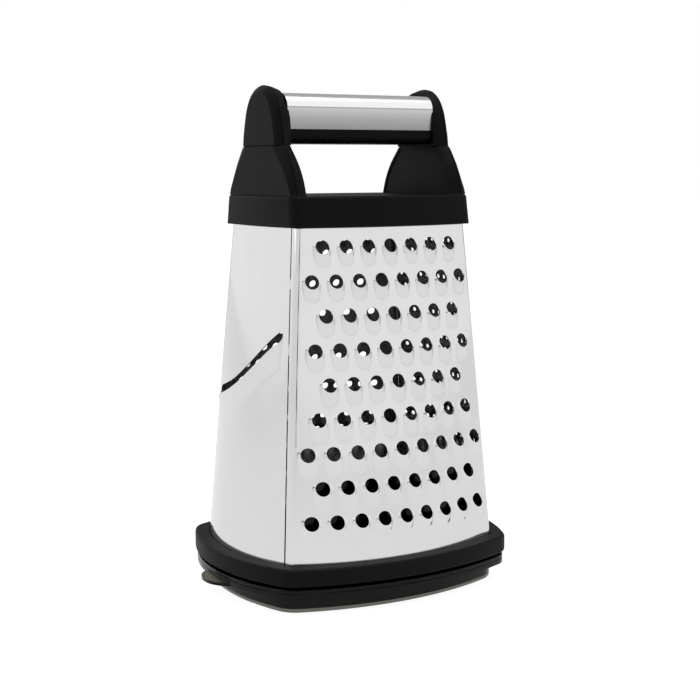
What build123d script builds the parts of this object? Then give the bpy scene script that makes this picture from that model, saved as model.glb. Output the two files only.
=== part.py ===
from build123d import *
import os
from math import acos, asin, atan2, cos, degrees, floor, hypot, radians, sin

os.makedirs("parts", exist_ok=True)

# Four-sided box grater, in millimetres. The coarse face looks along -Y and the slicing face along -X.
# The origin is the centre of the face that it stands on, under the lid.

# Heights, from the table up
lid_height = 9.4
rim_thickness = 2.4
flange_thickness = 2.0
seat_height = 1.4
ring_height = 8.8
face_height = 161.2
collar_height = 14.8
bell_height = 24.5
arch_height = 29.5

# Steel shell: half sizes at the middle of each side, and how far the sides swell past their corners
foot_half_x = 70.5
foot_half_y = 58.1
foot_bow_x = 11.2
foot_bow_y = 13.3
neck_half_x = 50.9
neck_half_y = 39.7
neck_bow_x = 2.1
neck_bow_y = 5.0
shell_corner = 4.0
steel = 0.6
seam_gap = 0.3
foot_seam = 2.4
neck_seam = 3.5
lap_width = 4.0
lap_reach = 2.0
lap_clearance = 0.1

# Teeth of the three grating faces
coarse_hole = 6.9
coarse_pitch = 12.16
coarse_row = 16.51
coarse_margin = 7.0
tooth_radius = 4.8
tooth_rise = 1.8
tooth_slope = 11.8
medium_hole = 3.8
medium_pitch = 7.2
medium_row = 8.25
medium_margin = 7.5
fine_hole = 2.2
fine_pitch = 5.4
fine_row = 6.6
fine_margin = 6.0
top_row_drop = 9.4
bottom_row_rise = 18.0

# Slicing slot and its blade
slot_gap = 3.6
slot_front = 30.0
slot_back = 34.5
slot_high = 109.0
slot_low = 74.5
blade_rise = 2.2
blade_depth = 17.0
blade_end_rise = 0.5

# Base ring, its inner frame and their screws
ring_half_x = 78.3
ring_half_y = 65.5
ring_bow_x = 14.4
ring_bow_y = 13.3
ring_corner = 14.0
ring_floor = 2.4
ring_clearance = 0.3
ring_round = 1.4
frame_wall = 3.5
inner_corner = 2.5
ring_screw = 2.2
ring_screw_head = 3.2
ring_screw_head_height = 1.1
ring_screw_depth = 4.5
ring_screw_spread = 30.0

# Storage container and its lid
lip_inset = 0.8
lip_corner = 13.0
tub_height = 59.2
tub_wall = 1.8
tub_gap = 0.6
tub_top_half_x = 58.5
tub_top_half_y = 47.5
tub_top_bow_x = 5.5
tub_top_bow_y = 9.0
tub_corner = 7.0
tub_round = 3.0
seat_inset = 0.6
lid_half_x = 69.8
lid_half_y = 56.8
lid_bow_x = 9.1
lid_bow_y = 12.6
lid_corner = 14.0
lid_wall = 1.8
lid_round = 2.0
edge_round = 0.5
plug_height = 5.0
plug_gap = 0.3
tab_half = 16.0
tab_reach = 83.4
tab_thickness = 1.6
tab_corner = 15.0

# Collar and the clamp frame under it
collar_half_x = 53.0
collar_half_y = 42.2
collar_top_half_y = 39.5
collar_bow_x = 1.8
collar_bow_y = 4.8
collar_corner = 5.0
collar_roof = 4.0
collar_round = 1.5
collar_clearance = 0.15
clamp_plate = 2.5
clamp_wall = 1.6
clamp_depth = 9.0
clamp_window_x = 36.0
clamp_window_y = 20.0

# Handle posts, covers, bar and screws
grip_length = 84.6
post_thickness = 5.2
cover_gap = 0.1
bell_cover_thickness = 2.9
arch_cap_thickness = 2.6
bell_foot_half = 32.6
bell_mid_half = 29.2
bell_top_half = 20.6
arch_foot_half = 19.0
arch_radius = 15.8
post_inset = 1.0
post_round = 1.2
bell_round = 2.0
cap_round = 2.4
peg = 3.0
peg_length = 2.0
peg_clearance = 0.05
bell_peg_half = 22.0
bell_peg_rise = 8.0
arch_peg_half = 13.0
arch_peg_rise = 6.0
core_drop = 0.9
core_band = 7.0
sleeve_half = 15.0
sleeve_height = 17.6
sleeve_round = 7.4
sleeve_wall = 0.8
sleeve_clearance = 0.05
core_round = 4.0
bar_screw = 4.0
bar_screw_head = 7.4
bar_screw_head_height = 2.4
bar_screw_depth = 12.0
bar_screw_half = 7.0
post_screw = 3.0
post_screw_head = 5.4
post_screw_head_height = 2.2
post_screw_depth = 12.0
post_screw_half = 14.0
screw_clearance = 0.05
cut_margin = 1.0

# Levels
rim_level = lid_height
flange_level = rim_level + rim_thickness
seat_level = flange_level + flange_thickness
ring_level = seat_level + seat_height
foot_level = ring_level + ring_height
neck_level = foot_level + face_height
collar_level = neck_level + collar_height
bell_level = collar_level + bell_height
top_level = bell_level + arch_height
shell_low = ring_level + ring_floor
shell_high = collar_level - collar_roof
tub_level = flange_level + tub_height
clear_x = ring_half_x
clear_y = ring_half_y
taper_x = atan2(foot_half_x - neck_half_x, face_height)
taper_y = atan2(foot_half_y - neck_half_y, face_height)
foot = (Align.CENTER, Align.CENTER, Align.MIN)


def shell_size(level, inset):
    """Half sizes and bows of the steel shell at a level, moved inwards by inset."""
    share = (level - foot_level) / face_height
    half_x = foot_half_x + share * (neck_half_x - foot_half_x) - inset
    half_y = foot_half_y + share * (neck_half_y - foot_half_y) - inset
    bow_x = foot_bow_x + share * (neck_bow_x - foot_bow_x)
    bow_y = foot_bow_y + share * (neck_bow_y - foot_bow_y)
    return half_x, half_y, bow_x, bow_y


def shrink(size, amount):
    """The same outline moved inwards."""
    half_x, half_y, bow_x, bow_y = size
    return half_x - amount, half_y - amount, bow_x, bow_y


def outline(level, size, corner):
    """Rectangle with bowed sides and rounded corners."""
    half_x, half_y, bow_x, bow_y = size
    side_x = half_x - bow_x
    side_y = half_y - bow_y
    with BuildSketch(Plane.XY.offset(level)) as shape:
        with BuildLine():
            ThreePointArc((-side_x, -side_y), (0, -half_y), (side_x, -side_y))
            ThreePointArc((side_x, -side_y), (half_x, 0), (side_x, side_y))
            ThreePointArc((side_x, side_y), (0, half_y), (-side_x, side_y))
            ThreePointArc((-side_x, side_y), (-half_x, 0), (-side_x, -side_y))
        make_face()
        fillet(shape.vertices(), corner)
    return shape.sketch


def shell_outline(level, inset):
    return outline(level, shell_size(level, inset), max(shell_corner - inset, inner_corner))


def shell_loft(low, high, inset, mode=Mode.ADD):
    loft(sections=[shell_outline(low, inset), shell_outline(high, inset)], ruled=True, mode=mode)


def shell_tube(low, high, outer, inner):
    shell_loft(low, high, outer)
    shell_loft(low, high, inner, Mode.SUBTRACT)


def seam(level, inset):
    """Distance of the corner seams from the middle of the narrow sides."""
    share = (level - foot_level) / face_height
    _, half_y, _, bow_y = shell_size(level, 0)
    return half_y - bow_y - foot_seam - share * (neck_seam - foot_seam) - inset


def seam_band(side, start, end):
    """Face in the YZ plane from start to end, both measured from a seam towards the middle."""
    low = shell_low - cut_margin
    high = shell_high + cut_margin
    corners = [
        (side * seam(low, start), low),
        (side * seam(low, end), low),
        (side * seam(high, end), high),
        (side * seam(high, start), high),
    ]
    with BuildSketch(Plane.YZ) as band:
        with BuildLine():
            Polyline(*corners, close=True)
        make_face()
    return band.sketch


def middle_band(inset):
    """Face in the YZ plane between the front and back seams."""
    low = shell_low - cut_margin
    high = shell_high + cut_margin
    corners = [
        (-seam(low, inset), low),
        (seam(low, inset), low),
        (seam(high, inset), high),
        (-seam(high, inset), high),
    ]
    with BuildSketch(Plane.YZ) as band:
        with BuildLine():
            Polyline(*corners, close=True)
        make_face()
    return band.sketch


def face_spot(turn, along, level):
    """Location on a face's outer skin, +Z outwards and +Y up the face. Turn is 0 for the front face."""
    half_x, half_y, bow_x, bow_y = shell_size(level, 0)
    wide = turn % 180 == 0
    depth = half_y if wide else half_x
    bow = bow_y if wide else bow_x
    side = half_x - bow_x if wide else half_y - bow_y
    taper = taper_y if wide else taper_x
    radius = (side**2 + bow**2) / (2 * bow)
    swing = asin(along / radius)
    depth = depth - radius * (1 - cos(swing))
    spot = Plane(
        origin=(along, -depth, level),
        x_dir=(cos(swing), sin(swing), 0),
        z_dir=(sin(swing) * cos(taper), -cos(swing) * cos(taper), sin(taper)),
    )
    return Location((0, 0, 0), (0, 0, turn)) * spot.location


def tooth_spots(turn, pitch, row, margin):
    """Staggered rows that widen with the face: odd and even counts take turns."""
    spots = []
    level = neck_level - top_row_drop
    odd = True
    while level > foot_level + bottom_row_rise:
        half_x, half_y, bow_x, bow_y = shell_size(level, 0)
        side = half_x - bow_x if turn % 180 == 0 else half_y - bow_y
        count = floor(2 * (side - margin) / pitch) + 1
        if (count % 2 == 1) != odd:
            count = count - 1
        for index in range(count):
            spots.append(face_spot(turn, (index - (count - 1) / 2) * pitch, level))
        odd = not odd
        level = level - row
    return spots


def grate(spots, hole):
    with Locations(*spots):
        Cylinder(hole / 2, 2 * tooth_radius, mode=Mode.SUBTRACT)


# Raised tooth: a leaning round ridge that starts at the hole's middle and runs out below it
tooth_box = 2 * tooth_radius
tooth_lift = coarse_hole / 2 * sin(radians(tooth_slope)) + tooth_rise - tooth_radius
with BuildPart() as tooth:
    with Locations(Location((0, 0, tooth_lift), (tooth_slope - 90, 0, 0))):
        Cylinder(tooth_radius, 2 * coarse_row)
    with Locations((0, 0, -steel / 2)):
        Box(
            tooth_box,
            coarse_row,
            tooth_box,
            align=(Align.CENTER, Align.MAX, Align.MIN),
            mode=Mode.INTERSECT,
        )

# Front and back panels wrap round the corners to the seams
with BuildPart() as coarse_panel:
    coarse_spots = tooth_spots(0, coarse_pitch, coarse_row, coarse_margin)
    shell_tube(shell_low, shell_high, 0, steel)
    extrude(seam_band(-1, 0, -clear_y), amount=clear_x, both=True, mode=Mode.INTERSECT)
    add([tooth.part.moved(spot) for spot in coarse_spots])
    grate(coarse_spots, coarse_hole)
coarse_panel.part.label = "coarse_panel"
export_step(coarse_panel.part, "parts/coarse_panel.step")

with BuildPart() as medium_panel:
    shell_tube(shell_low, shell_high, 0, steel)
    extrude(seam_band(1, 0, -clear_y), amount=clear_x, both=True, mode=Mode.INTERSECT)
    grate(tooth_spots(180, medium_pitch, medium_row, medium_margin), medium_hole)
medium_panel.part.label = "medium_panel"
export_step(medium_panel.part, "parts/medium_panel.step")

# Each narrow panel has strips along its long edges that lie behind the wrapped corners
with BuildPart() as lap_layer:
    shell_tube(shell_low, shell_high, steel + lap_clearance, 2 * steel + lap_clearance)
    laps = [seam_band(end, lap_width, -lap_reach) for end in (-1, 1)]
    extrude(Sketch() + laps, amount=clear_x, both=True, mode=Mode.INTERSECT)

with BuildPart() as lap_joint:
    shell_tube(shell_low, shell_high, steel / 2, steel + 2 * lap_clearance)
    joints = [seam_band(end, lap_width, seam_gap) for end in (-1, 1)]
    extrude(Sketch() + joints, amount=clear_x, both=True, mode=Mode.INTERSECT)

with BuildPart() as fine_panel:
    shell_tube(shell_low, shell_high, 0, steel)
    extrude(middle_band(seam_gap), amount=clear_x, mode=Mode.INTERSECT)
    add(split(lap_joint.part, bisect_by=Plane.YZ, keep=Keep.TOP, mode=Mode.PRIVATE))
    add(split(lap_layer.part, bisect_by=Plane.YZ, keep=Keep.TOP, mode=Mode.PRIVATE))
    grate(tooth_spots(90, fine_pitch, fine_row, fine_margin), fine_hole)
fine_panel.part.label = "fine_panel"
export_step(fine_panel.part, "parts/fine_panel.step")


def blade_section(along, rise):
    """Wedge across the slicing face: its edge stands out by rise just below the slot."""
    share = (along + slot_front) / (slot_front + slot_back)
    slope = (slot_high - slot_low) / (slot_front + slot_back)
    slot_level = foot_level + slot_high - share * (slot_high - slot_low)
    edge_level = slot_level - slot_gap / 2 / cos(atan2(slope, 1))
    skin = face_spot(270, -along, edge_level).position
    base = face_spot(270, -along, edge_level - blade_depth).position
    with BuildSketch(Plane.XZ.offset(-along)) as wedge:
        with BuildLine():
            Polyline(
                (skin.X + steel / 2, skin.Z),
                (skin.X - rise, skin.Z),
                (base.X + steel / 2, base.Z),
                close=True,
            )
        make_face()
    return wedge.sketch


# The slicing panel has one long slot that runs down towards the back, with a raised blade under it
with BuildPart() as slicer_panel:
    shell_tube(shell_low, shell_high, 0, steel)
    extrude(middle_band(seam_gap), amount=-clear_x, mode=Mode.INTERSECT)
    slot_run = slot_front + slot_back
    slot_fall = slot_high - slot_low
    blade_run_shares = (0.03, 0.12, 0.5, 0.88, 0.97)
    blade_rises = (blade_end_rise, blade_rise, blade_rise, blade_rise, blade_end_rise)
    sections = []
    for share, rise in zip(blade_run_shares, blade_rises):
        sections.append(blade_section(share * slot_run - slot_front, rise))
    loft(sections=sections)
    with BuildSketch(Plane.YZ):
        middle = ((slot_back - slot_front) / 2, foot_level + (slot_high + slot_low) / 2)
        with Locations(Location(middle, -degrees(atan2(slot_fall, slot_run)))):
            SlotOverall(hypot(slot_run, slot_fall), slot_gap)
    extrude(amount=-clear_x, mode=Mode.SUBTRACT)
    add(split(lap_joint.part, bisect_by=Plane.YZ, keep=Keep.BOTTOM, mode=Mode.PRIVATE))
    add(split(lap_layer.part, bisect_by=Plane.YZ, keep=Keep.BOTTOM, mode=Mode.PRIVATE))
slicer_panel.part.label = "slicer_panel"
export_step(slicer_panel.part, "parts/slicer_panel.step")

# Base ring: the shell stands on its floor, inside its wall
ring_size = (ring_half_x, ring_half_y, ring_bow_x, ring_bow_y)
lip_size = shrink(ring_size, lip_inset)
with BuildPart() as base_ring:
    extrude(outline(ring_level, ring_size, ring_corner), amount=ring_height)
    rims = base_ring.faces().filter_by(Axis.Z).edges()
    fillet(rims, ring_round)
    shell_loft(shell_low, foot_level, -ring_clearance, Mode.SUBTRACT)
    floor_size = shell_size(foot_level, frame_wall + 2 * steel + lap_clearance)
    extrude(outline(ring_level, floor_size, inner_corner), amount=ring_floor, mode=Mode.SUBTRACT)
    ring_spots = []
    for front, along in ((0, -1), (0, 1), (180, -1), (180, 1)):
        skin = face_spot(front, along * ring_screw_spread, foot_level).position
        inward = frame_wall / 2 + 2 * steel + lap_clearance
        ring_spots.append((skin.X, skin.Y - inward if skin.Y > 0 else skin.Y + inward))
    with Locations(*[(x, y, ring_level) for x, y in ring_spots]):
        head_pocket = ring_screw_head / 2 + screw_clearance
        Cylinder(head_pocket, ring_screw_head_height, align=foot, mode=Mode.SUBTRACT)
        Cylinder(ring_screw / 2 + screw_clearance, ring_floor, align=foot, mode=Mode.SUBTRACT)
base_ring.part.label = "base_ring"
export_step(base_ring.part, "parts/base_ring.step")

# Inner frame: grips the bottom edge of the shell from inside
with BuildPart() as base_inner_frame:
    frame_outer = 2 * steel + 2 * lap_clearance
    shell_tube(shell_low, foot_level, frame_outer, frame_outer + frame_wall)
    with Locations(*[(x, y, shell_low) for x, y in ring_spots]):
        thread_hole = ring_screw / 2 + screw_clearance
        Cylinder(thread_hole, ring_screw_depth + screw_clearance, align=foot, mode=Mode.SUBTRACT)
base_inner_frame.part.label = "base_inner_frame"
export_step(base_inner_frame.part, "parts/base_inner_frame.step")

with BuildPart() as ring_screws:
    with Locations(*[(x, y, ring_level) for x, y in ring_spots]):
        Cylinder(ring_screw_head / 2, ring_screw_head_height, align=foot)
        Cylinder(ring_screw / 2, ring_floor + ring_screw_depth, align=foot)
ring_screws.part.label = "ring_screws"
export_step(ring_screws.part, "parts/ring_screws.step")

# Storage tub, nested mouth down inside the shell. The ring stands on the seat of its flange
tub_inset = frame_wall + 2 * steel + 2 * lap_clearance + tub_gap
mouth_size = shell_size(foot_level, tub_inset)
tub_top_size = (tub_top_half_x, tub_top_half_y, tub_top_bow_x, tub_top_bow_y)
with BuildPart() as storage_tub:
    extrude(outline(flange_level, lip_size, lip_corner), amount=flange_thickness)
    fillet(storage_tub.faces().filter_by(Axis.Z).edges(), edge_round)
    loft(
        sections=[
            outline(flange_level, mouth_size, tub_corner),
            outline(tub_level, tub_top_size, tub_corner),
        ],
        ruled=True,
    )
    fillet(storage_tub.faces().sort_by(Axis.Z)[-1].edges(), tub_round)
    seat_size = shell_size(foot_level, seat_inset)
    extrude(outline(seat_level, seat_size, tub_corner), amount=seat_height)
    loft(
        sections=[
            outline(flange_level, shrink(mouth_size, tub_wall), tub_corner - tub_wall),
            outline(tub_level - tub_wall, shrink(tub_top_size, tub_wall), tub_corner - tub_wall),
        ],
        ruled=True,
        mode=Mode.SUBTRACT,
    )
storage_tub.part.label = "storage_tub"
export_step(storage_tub.part, "parts/storage_tub.step")

# Lid: shallow tray that closes the tub's mouth and is the foot of the whole grater
plug_share = plug_height / tub_height
plug_end = [low + plug_share * (high - low) for low, high in zip(mouth_size, tub_top_size)]
plug_size = shrink(plug_end, tub_wall + plug_gap)
lid_size = (lid_half_x, lid_half_y, lid_bow_x, lid_bow_y)
with BuildPart() as storage_lid:
    extrude(outline(0, lid_size, lid_corner), amount=lid_height)
    fillet(storage_lid.edges().group_by(Axis.Z)[0], lid_round)
    extrude(outline(rim_level, lip_size, lip_corner), amount=rim_thickness)
    fillet(storage_lid.faces().sort_by(Axis.Z)[-1].edges(), edge_round)
    extrude(outline(flange_level, plug_size, tub_corner - tub_wall), amount=plug_height)
    with BuildSketch(Plane.XY.offset(rim_level - tab_thickness / 2)) as tab:
        with Locations((-tab_reach / 2, 0)):
            Rectangle(tab_reach, 2 * tab_half)
        fillet(tab.vertices().group_by(Axis.X)[0], tab_corner)
    extrude(amount=tab_thickness)
    inner_lid = outline(lid_wall, shrink(lid_size, lid_wall), lid_corner - lid_wall)
    extrude(inner_lid, amount=lid_height - lid_wall, mode=Mode.SUBTRACT)
    inner_plug = outline(rim_level, shrink(plug_size, lid_wall), tub_corner - tub_wall - lid_wall)
    extrude(inner_plug, amount=rim_thickness + plug_height, mode=Mode.SUBTRACT)
storage_lid.part.label = "storage_lid"
export_step(storage_lid.part, "parts/storage_lid.step")

# Screws from under the clamp frame go up through the collar's roof into the handle posts
grip_half = grip_length / 2
post_outer = grip_half + post_thickness
screw_x = grip_half + post_thickness / 2
post_screw_spots = [(x, y) for x in (-screw_x, screw_x) for y in (-post_screw_half, post_screw_half)]

with BuildPart() as top_collar:
    collar_low = (collar_half_x, collar_half_y, collar_bow_x, collar_bow_y)
    collar_top = (collar_half_x, collar_top_half_y, collar_bow_x, collar_bow_y)
    loft(
        sections=[
            outline(neck_level, collar_low, collar_corner),
            outline(collar_level, collar_top, collar_corner),
        ],
        ruled=True,
    )
    fillet(top_collar.faces().sort_by(Axis.Z)[-1].edges(), collar_round)
    shell_loft(neck_level, shell_high, -collar_clearance, Mode.SUBTRACT)
    with Locations(*[(x, y, shell_high) for x, y in post_screw_spots]):
        Cylinder(post_screw / 2 + screw_clearance, collar_roof, align=foot, mode=Mode.SUBTRACT)
top_collar.part.label = "top_collar"
export_step(top_collar.part, "parts/top_collar.step")

clamp_low = shell_high - clamp_depth
clamp_inset = 2 * steel + 2 * lap_clearance
with BuildPart() as clamp_frame:
    shell_loft(clamp_low, shell_high, clamp_inset)
    plate_low = shell_high - clamp_plate
    shell_loft(clamp_low, plate_low, clamp_inset + clamp_wall, Mode.SUBTRACT)
    with Locations((0, 0, plate_low)):
        Box(2 * clamp_window_x, 2 * clamp_window_y, clamp_plate, align=foot, mode=Mode.SUBTRACT)
    with Locations(*[(x, y, plate_low) for x, y in post_screw_spots]):
        Cylinder(post_screw / 2 + screw_clearance, clamp_plate, align=foot, mode=Mode.SUBTRACT)
    with Locations(*[(x, y, clamp_low) for x, y in post_screw_spots]):
        pocket = post_screw_head / 2 + screw_clearance
        Cylinder(pocket, plate_low - clamp_low, align=foot, mode=Mode.SUBTRACT)
clamp_frame.part.label = "clamp_frame"
export_step(clamp_frame.part, "parts/clamp_frame.step")

with BuildPart() as post_screws:
    shank = clamp_plate + collar_roof + post_screw_depth
    with Locations(*[(x, y, plate_low) for x, y in post_screw_spots]):
        Cylinder(post_screw_head / 2, post_screw_head_height, align=(Align.CENTER, Align.CENTER, Align.MAX))
        Cylinder(post_screw / 2, shank, align=foot)
post_screws.part.label = "post_screws"
export_step(post_screws.part, "parts/post_screws.step")


def arch_side(inset):
    """Foot and tangent point of the arch's sloping side."""
    radius = arch_radius - inset
    centre = top_level - arch_radius
    half = arch_foot_half - inset
    drop = centre - bell_level
    angle = atan2(-drop, half) + acos(radius / hypot(half, drop))
    return (half, bell_level), (radius * cos(angle), centre + radius * sin(angle)), (0, centre + radius)


def arch_face(plane, inset):
    foot_point, shoulder, crown = arch_side(inset)
    with BuildSketch(plane) as face:
        with BuildLine():
            Polyline((-shoulder[0], shoulder[1]), (-foot_point[0], foot_point[1]), foot_point, shoulder)
            ThreePointArc(shoulder, crown, (-shoulder[0], shoulder[1]))
        make_face()
    return face.sketch


def bell_face(plane, inset):
    middle = (collar_level + bell_level) / 2
    foot_half = bell_foot_half - inset
    mid_half = bell_mid_half - inset
    top_half = bell_top_half - inset
    with BuildSketch(plane) as face:
        with BuildLine():
            Line((-foot_half, collar_level), (foot_half, collar_level))
            ThreePointArc((foot_half, collar_level), (mid_half, middle), (top_half, bell_level))
            Line((top_half, bell_level), (-top_half, bell_level))
            ThreePointArc((-top_half, bell_level), (-mid_half, middle), (-foot_half, collar_level))
        make_face()
    return face.sketch


bell_peg_level = collar_level + bell_peg_rise
arch_peg_level = bell_level + arch_peg_rise
bar_level = bell_level + core_drop
sleeve_level = bar_level + core_band
bar_screw_level = sleeve_level + sleeve_height / 3
cover_start = post_outer + cover_gap

for name, side in (("left", -1), ("right", 1)):
    outward = Plane.YZ if side > 0 else Plane(origin=(0, 0, 0), x_dir=(0, -1, 0), z_dir=(-1, 0, 0))
    inner_plane = outward.offset(grip_half)
    cover_plane = outward.offset(cover_start)
    bell_pegs = [(y, bell_peg_level) for y in (-bell_peg_half, bell_peg_half)]
    arch_pegs = [(y, arch_peg_level) for y in (-arch_peg_half, arch_peg_half)]
    bar_holes = [(y, bar_screw_level) for y in (-bar_screw_half, bar_screw_half)]

    # Upright: carries the bar, and stands on the collar
    with BuildPart() as post:
        extrude(arch_face(inner_plane, post_inset), amount=post_thickness)
        extrude(bell_face(inner_plane, post_inset), amount=post_thickness)
        inner_edges = post.faces().filter_by(Axis.X).sort_by(Axis.X)[-1 if side < 0 else 0].edges()
        fillet(inner_edges.filter_by(lambda edge: edge.center().Z > collar_level + post_round), post_round)
        with BuildSketch(outward.offset(post_outer - peg_length - peg_clearance)):
            with Locations(*bell_pegs, *arch_pegs):
                Circle(peg / 2 + peg_clearance)
        extrude(amount=peg_length + peg_clearance, mode=Mode.SUBTRACT)
        with BuildSketch(inner_plane):
            with Locations(*bar_holes):
                Circle(bar_screw / 2 + screw_clearance)
        extrude(amount=post_thickness, mode=Mode.SUBTRACT)
        with BuildSketch(outward.offset(post_outer - bar_screw_head_height)):
            with Locations(*bar_holes):
                Circle(bar_screw_head / 2 + screw_clearance)
        extrude(amount=bar_screw_head_height, mode=Mode.SUBTRACT)
        with Locations(*[(side * screw_x, y, collar_level) for y in (-post_screw_half, post_screw_half)]):
            Cylinder(post_screw / 2 + screw_clearance, post_screw_depth, align=foot, mode=Mode.SUBTRACT)
    post.part.label = name + "_post"
    export_step(post.part, "parts/" + name + "_post.step")

    # Outer covers: a bell at the foot and a cap over the arch, each on two pegs
    with BuildPart() as bell_cover:
        extrude(bell_face(cover_plane, 0), amount=bell_cover_thickness)
        outer_edges = bell_cover.faces().filter_by(Axis.X).sort_by(Axis.X)[0 if side < 0 else -1].edges()
        fillet(outer_edges.filter_by(lambda edge: edge.center().Z > collar_level + bell_round), bell_round)
        with BuildSketch(outward.offset(post_outer - peg_length)):
            with Locations(*bell_pegs):
                Circle(peg / 2)
        extrude(amount=peg_length + cover_gap)
    bell_cover.part.label = name + "_bell_cover"
    export_step(bell_cover.part, "parts/" + name + "_bell_cover.step")

    with BuildPart() as arch_cap:
        extrude(arch_face(cover_plane, 0), amount=arch_cap_thickness)
        outer_edges = arch_cap.faces().filter_by(Axis.X).sort_by(Axis.X)[0 if side < 0 else -1].edges()
        fillet(outer_edges.filter_by(lambda edge: edge.center().Z > bell_level + cap_round), cap_round)
        with BuildSketch(outward.offset(post_outer - peg_length)):
            with Locations(*arch_pegs):
                Circle(peg / 2)
        extrude(amount=peg_length + cover_gap)
    arch_cap.part.label = name + "_arch_cap"
    export_step(arch_cap.part, "parts/" + name + "_arch_cap.step")


def bar_face(low, inset, corner):
    """Section of the bar from low up to the crown, moved inwards by inset."""
    high = sleeve_level + sleeve_height - inset
    with BuildSketch(Plane.YZ.offset(-grip_half)) as face:
        with Locations((0, (low + high) / 2)):
            Rectangle(2 * (sleeve_half - inset), high - low)
        fillet(face.vertices().group_by(Axis.Y)[-1], corner)
    return face.sketch


# Handle bar: plastic core with a steel sleeve over its top and sides
with BuildPart() as handle_core:
    core_inset = sleeve_wall + sleeve_clearance
    extrude(bar_face(sleeve_level, core_inset, sleeve_round - core_inset), amount=grip_length)
    with BuildSketch(Plane.YZ.offset(-grip_half)) as underside:
        with Locations((0, (bar_level + sleeve_level) / 2)):
            Rectangle(2 * sleeve_half, core_band)
        fillet(underside.vertices().group_by(Axis.Y)[0], core_round)
    extrude(amount=grip_length)
    for end in (-1, 1):
        with BuildSketch(Plane.YZ.offset(end * grip_half)):
            with Locations(*[(y, bar_screw_level) for y in (-bar_screw_half, bar_screw_half)]):
                Circle(bar_screw / 2 + screw_clearance)
        extrude(amount=-end * bar_screw_depth, mode=Mode.SUBTRACT)
handle_core.part.label = "handle_core"
export_step(handle_core.part, "parts/handle_core.step")

with BuildPart() as handle_sleeve:
    extrude(bar_face(sleeve_level, 0, sleeve_round), amount=grip_length)
    channel = bar_face(sleeve_level, sleeve_wall, sleeve_round - sleeve_wall)
    extrude(channel, amount=grip_length, mode=Mode.SUBTRACT)
handle_sleeve.part.label = "handle_sleeve"
export_step(handle_sleeve.part, "parts/handle_sleeve.step")

with BuildPart() as bar_screws:
    for end in (-1, 1):
        with BuildSketch(Plane.YZ.offset(end * post_outer)):
            with Locations(*[(y, bar_screw_level) for y in (-bar_screw_half, bar_screw_half)]):
                Circle(bar_screw_head / 2)
        extrude(amount=-end * bar_screw_head_height)
        with BuildSketch(Plane.YZ.offset(end * post_outer)):
            with Locations(*[(y, bar_screw_level) for y in (-bar_screw_half, bar_screw_half)]):
                Circle(bar_screw / 2)
        extrude(amount=-end * (post_thickness + bar_screw_depth - screw_clearance))
bar_screws.part.label = "bar_screws"
export_step(bar_screws.part, "parts/bar_screws.step")
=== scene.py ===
import bpy
import bmesh
import math
import numpy as np
from mathutils import Matrix, Vector


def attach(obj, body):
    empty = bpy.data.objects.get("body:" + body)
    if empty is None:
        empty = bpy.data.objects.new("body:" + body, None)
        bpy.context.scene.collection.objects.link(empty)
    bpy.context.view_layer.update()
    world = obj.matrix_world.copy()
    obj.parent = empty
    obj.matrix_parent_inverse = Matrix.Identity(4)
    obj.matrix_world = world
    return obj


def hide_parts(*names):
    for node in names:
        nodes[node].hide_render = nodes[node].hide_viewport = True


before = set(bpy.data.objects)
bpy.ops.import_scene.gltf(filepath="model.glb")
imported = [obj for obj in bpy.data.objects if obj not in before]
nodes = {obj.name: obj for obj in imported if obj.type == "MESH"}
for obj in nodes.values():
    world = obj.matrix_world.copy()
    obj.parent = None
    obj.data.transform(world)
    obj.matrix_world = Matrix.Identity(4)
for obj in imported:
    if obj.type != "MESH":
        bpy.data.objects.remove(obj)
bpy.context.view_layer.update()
mm = 0.001
print("box grater: frame loaded,", len(nodes), "nodes")

# Camera at the photograph's view, in metres and degrees
view = {
    "place": (-0.37505, -0.63260, 0.21448), "turn": -30.749, "tilt": 82.649, "roll": -0.1958,
    "lens": 73.41, "sensor": 36.0, "nearest": 0.01,
}
cameraData = bpy.data.cameras.new("photoCamera")
cameraData.lens = view["lens"]
cameraData.sensor_width = view["sensor"]
cameraData.clip_start = view["nearest"]
camera = bpy.data.objects.new("photoCamera", cameraData)
bpy.context.collection.objects.link(camera)
aim = Matrix.Rotation(math.radians(view["turn"]), 4, "Z")
aim = aim @ Matrix.Rotation(math.radians(view["tilt"]), 4, "X")
aim = aim @ Matrix.Rotation(math.radians(view["roll"]), 4, "Z")
camera.matrix_world = Matrix.Translation(view["place"]) @ aim
bpy.context.scene.camera = camera
bpy.context.scene.view_settings.view_transform = "Standard"


# Shader maths: a wrapped socket takes part in Python expressions
class Wire:
    def __init__(self, maker, socket):
        self.maker = maker
        self.socket = socket

    def maths(self, operation, *others):
        sockets = dict(enumerate((self,) + others))
        return self.maker.node("ShaderNodeMath", {"operation": operation}, sockets)

    def __add__(self, other):
        return self.maths("ADD", other)

    def __radd__(self, other):
        return self.maths("ADD", other)

    def __sub__(self, other):
        return self.maths("SUBTRACT", other)

    def __rsub__(self, other):
        return self.maker.node("ShaderNodeMath", {"operation": "SUBTRACT"}, {0: other, 1: self})

    def __mul__(self, other):
        return self.maths("MULTIPLY", other)

    def __rmul__(self, other):
        return self.maths("MULTIPLY", other)

    def __truediv__(self, other):
        return self.maths("DIVIDE", other)

    def __rtruediv__(self, other):
        return self.maker.node("ShaderNodeMath", {"operation": "DIVIDE"}, {0: other, 1: self})

    def __gt__(self, other):
        return self.maths("GREATER_THAN", other)

    def __lt__(self, other):
        return self.maths("LESS_THAN", other)

    def clamp(self):
        return self.maker.node("ShaderNodeClamp", {}, {0: self})


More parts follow.
